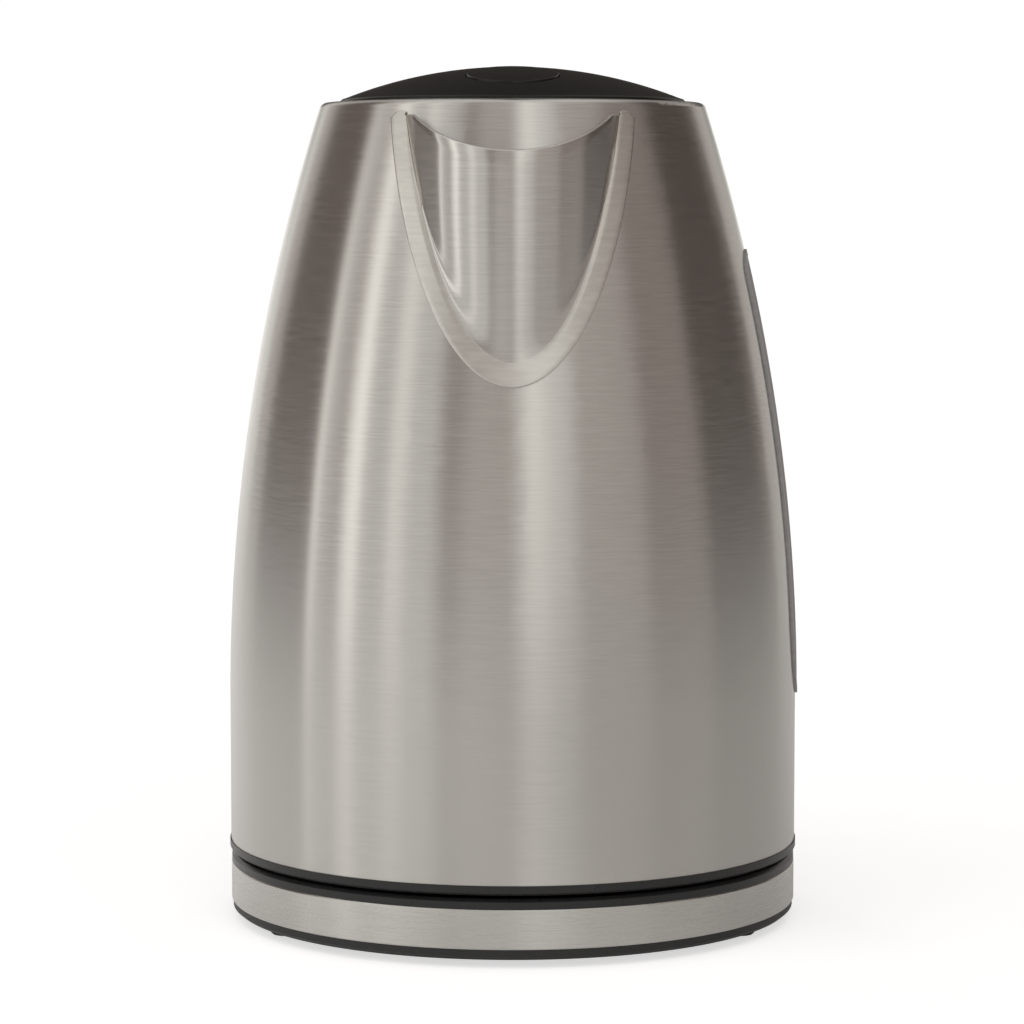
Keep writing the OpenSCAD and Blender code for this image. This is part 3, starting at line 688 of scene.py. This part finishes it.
handle_path = [(y * mm, handle_top, (0, 1)) for y in top_run]
handle_path += arc_points(top_place, top_corner, math.pi / 2, top_turn, corner_steps)
handle_path += arc_points(back_place, back_radius, top_turn, low_turn, back_steps)[1:]
handle_path += arc_points(low_place, low_corner, low_turn, -math.pi / 2, corner_steps)[1:]
handle_path += [(y * mm, handle_foot, (0, -1)) for y in foot_run]


def rounded_corner(half, face, radius, quarter, steps):
    """Section points round one corner, the quarter'th quarter of a turn: x across the handle, and
    depth in from its outer face. half is the section's half width, and face the depth of the face
    that the corner runs into."""
    x = half - radius if quarter in (0, 3) else radius - half
    depth = face + radius if quarter < 2 else face - radius
    points = []
    for i in range(steps + 1):
        turn = math.pi / 2 * (quarter + i / steps)
        points.append((x + radius * math.cos(turn), depth - radius * math.sin(turn)))
    return points


groove_half = grip_half + grip_fit
groove_floor = handle_depth - grip_depth
groove_edge = handle_depth - grip_fit
shell_section = rounded_corner(handle_half, 0, outer_round, 0, 8)
shell_section += rounded_corner(handle_half, 0, outer_round, 1, 8)
shell_section += rounded_corner(handle_half, handle_depth, inner_round, 2, 4)
shell_section += [
    (-groove_half, groove_edge), (-groove_half, groove_floor), (groove_half, groove_floor),
    (groove_half, groove_edge),
]
shell_section += rounded_corner(handle_half, handle_depth, inner_round, 3, 4)


def swept(name, section):
    """The section carried along the handle's path."""
    rows = []
    for y, z, way in handle_path:
        rows.append([Vector((x, y - way[0] * depth, z - way[1] * depth)) for x, depth in section])
    return grid_mesh(name, rows)


def lathe(name, outline, sides=128):
    """A solid turned about the kettle's axis from a half outline of (radius, height)."""
    rows = []
    for i in range(sides):
        turn = math.tau * i / sides
        rows.append([Vector((r * math.cos(turn), r * math.sin(turn), z)) for r, z in outline])
    return grid_mesh(name, rows, wrap_rows=True, wrap_columns=False, cap_ends=False)


def block(name, low, high):
    """A plain cutting block between two corners."""
    mesh = bpy.data.meshes.new(name)
    shape = bmesh.new()
    bmesh.ops.create_cube(shape, size=1)
    for v in shape.verts:
        v.co = Vector([(a + b) / 2 + c * (b - a) for a, b, c in zip(low, high, v.co)])
    shape.to_mesh(mesh)
    shape.free()
    return mesh


def cut(mesh, cutters, name):
    """A new mesh: the old one with every cutter's solid taken away."""
    solid = bpy.data.objects.new("blank", mesh)
    scene.collection.objects.link(solid)
    tools = []
    for cutter in cutters:
        tool = bpy.data.objects.new("cutter", cutter)
        scene.collection.objects.link(tool)
        tools.append(tool)
        take = solid.modifiers.new("take_away", "BOOLEAN")
        take.operation = "DIFFERENCE"
        take.solver = "EXACT"
        take.object = tool
    bpy.context.view_layer.update()
    evaluated = solid.evaluated_get(bpy.context.evaluated_depsgraph_get())
    shaped = bpy.data.meshes.new_from_object(evaluated)
    shaped.name = name
    for extra in [solid] + tools:
        bpy.data.objects.remove(extra)
    return shaped


def jug_blank(gap):
    """The jug's outside as a solid, grown by gap, with the lid's room over the rim."""
    low = handle_foot - jug_blank_ends[0]
    high = rim_top + jug_blank_ends[1]
    outline = [(0.0, low)]
    for i in range(jug_blank_steps + 1):
        z = low + (rim_top - low) * i / jug_blank_steps
        outline.append((wall(z) + gap, z))
    outline += [(rim_clear, rim_top + over_rim), (rim_clear, high), (0.0, high)]
    return lathe("jug_blank", outline)


def circle(radius, sides=32):
    """Points of a circle, to cut a round hole with."""
    turns = [math.tau * i / sides for i in range(sides)]
    return [(radius * math.cos(turn), radius * math.sin(turn)) for turn in turns]


def level_bar(name, z, radius, y0, y1):
    """A round bar along Y at height z, in the kettle's middle plane."""
    return grid_mesh(name, [[Vector((a, y, z + b)) for a, b in circle(radius)] for y in (y0, y1)])


def screw_recess(y, z0, z1):
    """An upright round solid that makes room for a screw's head."""
    ring = circle(screw_room)
    return grid_mesh("screw_recess", [[Vector((a, y + b, z)) for a, b in ring] for z in (z0, z1)])


lamp_low, lamp_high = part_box("indicator_lens")
lamp_z = (lamp_low[2] + lamp_high[2]) / 2
lever_low, lever_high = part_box("switch_lever")
handle_mesh = cut(
    swept("handle_blank", shell_section),
    [
        jug_blank(wall_fit),
        block(
            "knuckle_room",
            (-knuckle_room, room_front, rim_top + wall_fit), (knuckle_room, room_back, past_rim),
        ),
        level_bar(
            "lamp_hole", lamp_z, lamp_high[0] + lamp_fit, lamp_low[1] - past_face, past_handle,
        ),
        block(
            "lever_slot",
            (lever_low[0] - lever_gap, lever_low[1] + past_face, lever_low[2] - lever_room[0]),
            (lever_high[0] + lever_gap, past_handle, lever_high[2] + lever_room[1]),
        ),
        screw_recess(low_screw_y, handle_foot - past_face, handle_foot + screw_head),
    ],
    "handle_moulding",
)
handle = link_piece("handle_moulding", handle_mesh, gloss_plastic)
handle_mesh.set_sharp_from_angle(angle=crisp_handle)
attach(handle, "jug")
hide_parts("handle_shell")


# ---------- Handle ears ----------
# Two round ears moulded on the handle's top hold the steel pin that the lid turns on. Each runs
# back into the handle at its foot, and its corners are rounded.
ear_half = 13 * mm
ear_inner = 9.0 * mm
ear_radius = 3.4 * mm
ear_edge = 0.5 * mm
ear_foot = 0.15 * mm
ear_back = ear_radius + 3 * mm
ear_shoulder = 0.2 * mm
ear_ends = ((0, 1), (0.3, 0.3), (1, 0))     # shares of the edge: in from the end, and how much less
arch_steps = 12
pin_low, pin_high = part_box("hinge_pin")
pin_y = (pin_low[1] + pin_high[1]) / 2
pin_z = (pin_low[2] + pin_high[2]) / 2


def ear_rows(side):
    """One ear: an upright D section carried across, smaller at its two ends."""
    foot = rim_top + ear_foot - pin_z
    arch = [math.pi * i / arch_steps for i in range(arch_steps + 1)]
    outline = [(math.cos(turn) * ear_radius, math.sin(turn) * ear_radius) for turn in arch]
    outline += [(-ear_radius, foot), (ear_back, foot), (ear_back, -ear_shoulder)]
    places = [(ear_inner + ear_edge * along, ear_edge * less) for along, less in ear_ends]
    places += [(ear_half - ear_edge * along, ear_edge * less) for along, less in reversed(ear_ends)]
    rows = []
    for x, inset in places:
        scale = 1 - inset / ear_radius
        rows.append([Vector((side * x, pin_y + y * scale, pin_z + z * scale)) for y, z in outline])
    return rows


def one_mesh(name, parts):
    """Several meshes as one."""
    shape = bmesh.new()
    for part in parts:
        shape.from_mesh(part)
    mesh = bpy.data.meshes.new(name)
    shape.to_mesh(mesh)
    shape.free()
    return mesh


ears_mesh = one_mesh("handle_ears", [grid_mesh("ear", ear_rows(side)) for side in (-1, 1)])
ears = link_piece("handle_ears", ears_mesh, gloss_plastic)
ears_mesh.set_sharp_from_angle(angle=crisp_handle)
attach(ears, "jug")


# ---------- Grip ----------
# A strip of soft black rubber is let into the inner side of the handle, where the fingers close,
# with a fine texture and a narrow groove along both of its edges. The upper screw's head is sunk
# in it.
grip_black = (0.028, 0.028, 0.028)
grip_face = handle_top - handle_depth
grip_back = groove_floor + grip_fit
grip_wall_gap = 0.4 * mm
top_screw_y = 67 * mm
top_screw_sunk = 1.6 * mm

grip_section = [(grip_half, grip_back), (-grip_half, grip_back)]
grip_section += rounded_corner(grip_half, handle_depth, grip_groove, 2, 4)
grip_section += rounded_corner(grip_half, handle_depth, grip_groove, 3, 4)
grip_rubber = surface("grip_rubber", grip_black, 0.7, grain=1600, bump=0.06 * mm)
grip_mesh = cut(
    swept("grip_blank", grip_section),
    [
        jug_blank(grip_wall_gap),
        screw_recess(top_screw_y, grip_face - past_face, grip_face + top_screw_sunk),
    ],
    "handle_grip_strip",
)
grip = link_piece("handle_grip_strip", grip_mesh, grip_rubber)
grip_mesh.set_sharp_from_angle(angle=crisp_handle)
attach(grip, "jug")
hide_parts("handle_grip")


# ---------- Switch, lamp and steam tube ----------
# A steam tube in the handle leads from the rim down to a snap disc that throws the rocker switch.
# A red lamp lens in the handle's back lights while the kettle heats.
lamp_colour = (0.6, 0.05, 0.03)
lever_colour = (0.03, 0.03, 0.032)
lever_lean = math.radians(-50)
lever_reach = 17.4 * mm
lever_half = (lever_high[0] - lever_low[0]) / 2
lever_hub = 3.4 * mm
lever_thick = 2.0 * mm
lever_round = 0.9 * mm
paddle = ((0.45, 0.8), (0.75, 0.85))        # shares of the reach and of the thickness
hub_open = 45                     # degrees to each side of the paddle where the hub is left open
hub_steps = 14
end_steps = 8
crisp_lever = math.radians(40)
pivot_low, pivot_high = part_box("switch_pin")
pivot_y = (pivot_low[1] + pivot_high[1]) / 2
pivot_z = (pivot_low[2] + pivot_high[2]) / 2

lamp_red = surface("lamp_red", lamp_colour, 0.2, Transmission_Weight=0.3)
lever_plastic = surface("lever_plastic", lever_colour, 0.35, bump=0.003 * mm)


def lever_outline():
    """Side view of the rocker: a round hub with a paddle that thickens to a rounded end."""
    points = []
    for i in range(hub_steps + 1):
        turn = math.radians(hub_open + (360 - 2 * hub_open) * i / hub_steps)
        points.append((lever_hub * math.cos(turn), lever_hub * math.sin(turn)))
    points += [(lever_reach * share, -lever_thick * half) for share, half in paddle]
    for i in range(end_steps + 1):
        turn = math.radians(-90 + 180 * i / end_steps)
        along = lever_reach - lever_thick + lever_thick * math.cos(turn)
        points.append((along, lever_thick * math.sin(turn)))
    points += [(lever_reach * share, lever_thick * half) for share, half in reversed(paddle)]
    return points


def lever_section(x, shrink):
    """The rocker's outline at x, a share of its half width; shrink rounds its edges off."""
    points = []
    for along, rise in lever_outline():
        keep = 1 - shrink * lever_round / max(math.hypot(along, rise), lever_hub)
        a = along * keep
        b = rise * (1 - shrink * lever_round / lever_thick / 2)
        points.append(Vector((
            x * lever_half,
            pivot_y + a * math.cos(lever_lean) - b * math.sin(lever_lean),
            pivot_z + a * math.sin(lever_lean) + b * math.cos(lever_lean),
        )))
    return points


lever_places = ((-1, 1), (-0.93, 0.4), (-0.85, 0), (0.85, 0), (0.93, 0.4), (1, 1))
lever_rows = [lever_section(x, shrink) for x, shrink in lever_places]
lever_mesh = grid_mesh("rocker_lever", lever_rows)
lever = link_piece("rocker_lever", lever_mesh, lever_plastic)
lever_mesh.set_sharp_from_angle(angle=crisp_lever)
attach(lever, "switch")
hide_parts("switch_lever")
finish_nodes(zinc_steel, "handle_screws", "switch_pin", "hinge_pin")
finish_nodes(pale_plastic, "steam_tube", "steam_switch")
finish_nodes(lamp_red, "indicator_lens")


# ---------- Lid ----------
# A black domed moulding over a steel inner plate. Its edge is rounded, and a round hole in its
# front half takes the button; two knuckles at the back turn on the handle's pin.
lid_black_colour = (0.012, 0.012, 0.012)
lid_low, lid_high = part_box("lid_dome")
lid_radius = lid_high[0]
lid_crown = lid_high[2]
dome_radius = 124.5 * mm
dome_place = lid_crown - dome_radius
button_low, button_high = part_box("lid_button")
button_radius = button_high[0]
button_y = (button_low[1] + button_high[1]) / 2
hole_radius = button_radius + 0.3 * mm
hole_edge = 0.35 * mm
guide_wall = 1.2 * mm
guide_low = rim_top + 0.7 * mm
lid_wall = 2 * mm
lid_edge = 1.1 * mm
lid_foot = 0.3 * mm
lid_sides = 144
lid_steps = 16
hole_steps = 3
rim_steps = 5
under_steps = 6
knuckle_radius = 3 * mm
knuckle_half = 8.6 * mm
knuckle_edge = 0.35 * mm
knuckle_ends = ((0, 0.9), (0.3, 0.97), (1, 1))    # shares: of the edge, and of the section's size
knuckle_steps = 20
arm_end = 1 * mm
arm_y = lid_radius - 1.5 * mm
arm_top = rim_top + 3.1 * mm
arm_low = pin_z - 0.97 * knuckle_radius
spring_half = 3.2 * mm
crisp_lid = math.radians(40)

lid_black = surface(
    "lid_black", lid_black_colour, 0.30, shade=0.08, rough_change=0.03, bump=0.002 * mm, wear=0.001,
    Specular_IOR_Level=0.3,
)


def dome(x, y):
    """Height of the lid's dome over a point."""
    return dome_place + math.sqrt(dome_radius ** 2 - x ** 2 - y ** 2)


def lid_profile(turn):
    """Closed section of the lid from the button's hole out to the rim, in one direction."""
    way = Vector((math.cos(turn), math.sin(turn)))
    inner = Vector((0, button_y)) + way * hole_radius
    outer = way * lid_radius
    points = []

    def at(plan, height):
        points.append(Vector((plan.x, plan.y, height)))

    at(inner + way * guide_wall, guide_low)
    at(inner, guide_low)
    for k in range(hole_steps + 1):
        turn_in = math.pi / 2 * k / hole_steps
        plan = inner + way * hole_edge * (1 - math.cos(turn_in))
        at(plan, dome(plan.x, plan.y) - hole_edge * (1 - math.sin(turn_in)))
    edge = outer - way * lid_edge
    for k in range(1, lid_steps):
        plan = (inner + way * hole_edge).lerp(edge, k / lid_steps)
        at(plan, dome(plan.x, plan.y))
    edge_top = dome(edge.x, edge.y)
    for k in range(rim_steps + 1):
        turn_out = math.pi / 2 * k / rim_steps
        plan = edge + way * lid_edge * math.sin(turn_out)
        at(plan, edge_top - lid_edge * (1 - math.cos(turn_out)))
    at(outer, lid_low[2] + lid_foot)
    at(outer - way * lid_foot, lid_low[2])
    at(outer - way * lid_wall, lid_low[2])
    for k in range(under_steps + 1):
        plan = (outer - way * lid_wall).lerp(inner + way * guide_wall, k / under_steps)
        at(plan, dome(plan.x, plan.y) - lid_wall)
    return points


def knuckle_rows(x0, x1):
    """The hinge's knuckle and its arm between two places along the pin, rounded at both ends."""
    outline = [(arm_y, arm_low), (arm_y, arm_top)]
    start = math.pi - math.asin((arm_top - pin_z) / knuckle_radius)
    end = -math.pi + math.asin((pin_z - arm_low) / knuckle_radius)
    for i in range(knuckle_steps + 1):
        turn = start + (end - start) * i / knuckle_steps
        outline.append((
            pin_y + knuckle_radius * math.cos(turn), pin_z + knuckle_radius * math.sin(turn),
        ))
    places = [(x0 + knuckle_edge * along, keep) for along, keep in knuckle_ends]
    places += [(x1 - knuckle_edge * along, keep) for along, keep in reversed(knuckle_ends)]
    rows = []
    for x, keep in places:
        row = []
        for y, z in outline:
            if y >= arm_y + arm_end:
                y = pin_y + (y - pin_y) * keep
            row.append(Vector((x, y, pin_z + (z - pin_z) * keep)))
        rows.append(row)
    return rows


lid_rows = [lid_profile(math.tau * i / lid_sides) for i in range(lid_sides)]
lid_parts = [grid_mesh("lid_shell", lid_rows, wrap_rows=True)]
for x0, x1 in ((-knuckle_half, -spring_half), (spring_half, knuckle_half)):
    lid_parts.append(grid_mesh("knuckle", knuckle_rows(x0, x1)))
lid_mesh = one_mesh("lid_cap", lid_parts)
lid = link_piece("lid_cap", lid_mesh, lid_black)
lid_mesh.set_sharp_from_angle(angle=crisp_lid)
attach(lid, "lid")
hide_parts("lid_dome")


# ---------- Lid button ----------
# A crowned round button in the lid's own black. Pressed, it pulls the latch bolt in; a coil spring
# under it pushes it back.
button_lift = 0.35 * mm
button_edge = 0.5 * mm
button_wall = 1.6 * mm
button_skirt = button_low[2] + 4 * mm
button_ceiling = button_skirt + 2.4 * mm
button_sides = 96
crown_steps = 8
round_steps = 4
stem_radius = 3 * mm


def button_profile(turn):
    """Half section of the button in one direction, from its top's middle to its stem's."""
    way = Vector((math.cos(turn), math.sin(turn)))
    points = []

    def at(radius, height):
        points.append(Vector((radius * way.x, button_y + radius * way.y, height)))

    def top(radius):
        x = radius * way.x
        y = button_y + radius * way.y
        return dome_place + math.sqrt((dome_radius + button_lift) ** 2 - x ** 2 - y ** 2)

    crown = button_radius - button_edge
    for k in range(crown_steps + 1):
        at(crown * k / crown_steps, top(crown * k / crown_steps))
    for k in range(1, round_steps + 1):
        turn_out = math.pi / 2 * k / round_steps
        at(
            button_radius - button_edge * (1 - math.sin(turn_out)),
            top(crown) - button_edge * (1 - math.cos(turn_out)),
        )
    at(button_radius, button_skirt)
    at(button_radius - button_wall, button_skirt)
    at(button_radius - button_wall, button_ceiling)
    at(stem_radius, button_ceiling)
    at(stem_radius, button_low[2])
    at(0, button_low[2])
    return points


button_rows = [button_profile(math.tau * i / button_sides) for i in range(button_sides)]
button_mesh = grid_mesh("push_button", button_rows, wrap_rows=True, wrap_columns=False)
button = link_piece("push_button", button_mesh, lid_black)
button_mesh.set_sharp_from_angle(angle=crisp_lid)
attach(button, "button")
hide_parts("lid_button")


# ---------- Springs, latch and filter ----------
# Both springs are wound from round wire. The latch bolt and the filter's frame are satin
# mouldings, and the filter's mesh is woven nylon.
spring_grey = (0.55, 0.55, 0.55)
nylon_white = (0.75, 0.76, 0.74)
wire_radius = 0.45 * mm
wire_sides = 10
coil_radius = 2.3 * mm
coil_start = -3 * mm
coil_length = 6 * mm
coil_turns = 5
turn_steps = 28

spring_steel = surface("spring_steel", spring_grey, 0.25, metal=1.0)
mesh_nylon = surface("mesh_nylon", nylon_white, 0.6, grain=1500, shade=0.3)


def coil_ring(i):
    """The wire's section at one step along the lid's coil, which is wound round the pin."""
    turn = math.tau * i / turn_steps
    share = i / (coil_turns * turn_steps)
    along = coil_start + wire_radius + (coil_length - 2 * wire_radius) * share
    ring = []
    for k in range(wire_sides):
        angle = math.tau * k / wire_sides
        reach = coil_radius + wire_radius * math.cos(angle)
        ring.append(Vector((
            along + wire_radius * math.sin(angle),
            pin_y + reach * math.cos(turn),
            pin_z + reach * math.sin(turn),
        )))
    return ring


hinge_coil_mesh = grid_mesh(
    "hinge_coil", [coil_ring(i) for i in range(coil_turns * turn_steps + 1)],
)
hinge_coil = link_piece("hinge_coil", hinge_coil_mesh, spring_steel)
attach(hinge_coil, "lid")
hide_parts("lid_spring")
finish_nodes(spring_steel, "button_spring")
finish_nodes(satin_plastic, "latch_bolt", "filter_frame")
finish_nodes(mesh_nylon, "filter_mesh")
